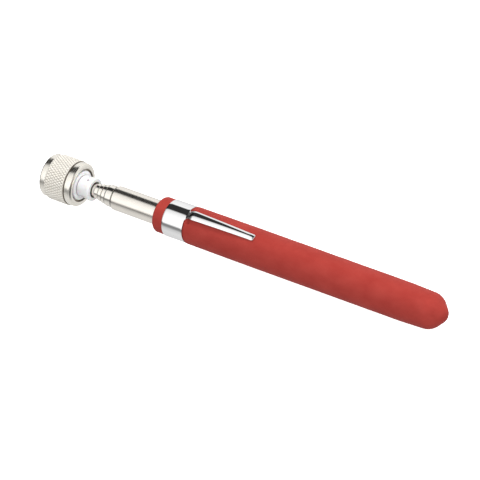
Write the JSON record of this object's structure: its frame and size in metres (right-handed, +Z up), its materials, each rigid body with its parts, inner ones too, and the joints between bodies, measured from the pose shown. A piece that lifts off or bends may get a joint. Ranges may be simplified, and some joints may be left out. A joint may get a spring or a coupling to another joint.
{
  "type": "telescopic magnetic pick-up tool",
  "caption": "Telescopic magnetic pick-up tool with a knurled magnet head, nested sliding tubes, a cushion grip and a pocket clip.",
  "frame": {"origin": "centre of the magnet's flat working face, on the tool's axis", "axes": "+X along the tool's axis from the magnet to the handle's rear tip, +Z up through the pocket clip, +Y completes a right-handed frame"},
  "size_m": [0.209, 0.0206, 0.0206],
  "materials": {
    "nickel_head": "satin nickel plate over knurled steel",
    "nickel_tube": "bright nickel plate over drawn brass tube",
    "chrome_sheet": "bright chrome",
    "magnet": "nickel-coated sintered magnet",
    "steel": "zinc-plated",
    "brass": "bare",
    "white_plastic": "satin moulded",
    "dark_plastic": "moulded",
    "red_vinyl": "matte soft vinyl"
  },
  "bodies": {
    "handle": {"outer_tube": "nickel_tube", "outer_plug": "steel", "grip": "red_vinyl", "collar_band": "chrome_sheet"},
    "clip": {"pocket_clip": "chrome_sheet"},
    "section_5": {"tube_5": "nickel_tube", "tube_5_bush": "brass", "tube_5_spring": "brass"},
    "section_4": {"tube_4": "nickel_tube", "tube_4_bush": "brass", "tube_4_spring": "brass"},
    "section_3": {"tube_3": "nickel_tube", "tube_3_bush": "brass", "tube_3_spring": "brass"},
    "section_2": {"tube_2": "nickel_tube", "tube_2_bush": "brass", "tube_2_spring": "brass"},
    "rod_slider": {"rod_bush": "brass", "rod_spring": "brass"},
    "head": {"magnet_cup": "nickel_head", "magnet": "magnet", "magnet_spacer": "dark_plastic", "head_insert": "white_plastic", "head_screw": "steel", "head_pin": "steel", "rod_plug": "brass", "rod_tube": "nickel_tube"}
  },
  "joints": [
    {"name": "section_5_slide", "type": "slide", "parent": "handle", "child": "section_5", "axis": [-1, 0, 0], "range_m": [0, 0.126]},
    {"name": "section_4_slide", "type": "slide", "parent": "section_5", "child": "section_4", "axis": [-1, 0, 0], "range_m": [0, 0.126]},
    {"name": "section_3_slide", "type": "slide", "parent": "section_4", "child": "section_3", "axis": [-1, 0, 0], "range_m": [0, 0.126]},
    {"name": "section_2_slide", "type": "slide", "parent": "section_3", "child": "section_2", "axis": [-1, 0, 0], "range_m": [0, 0.126]},
    {"name": "rod_slide", "type": "slide", "parent": "section_2", "child": "rod_slider", "axis": [-1, 0, 0], "range_m": [0, 0.126]},
    {"name": "head_turn", "type": "hinge", "parent": "rod_slider", "child": "head", "pos_m": [0.155, 0, 0], "axis": [-1, 0, 0], "continuous": true},
    {"name": "clip_flex", "type": "hinge", "parent": "handle", "child": "clip", "pos_m": [0.078, 0, 0.0084], "axis": [0, -1, 0], "range_deg": [0, 5], "stiffness_Nm_per_rad": 2.5, "springref_deg": -1.72}
  ]
}
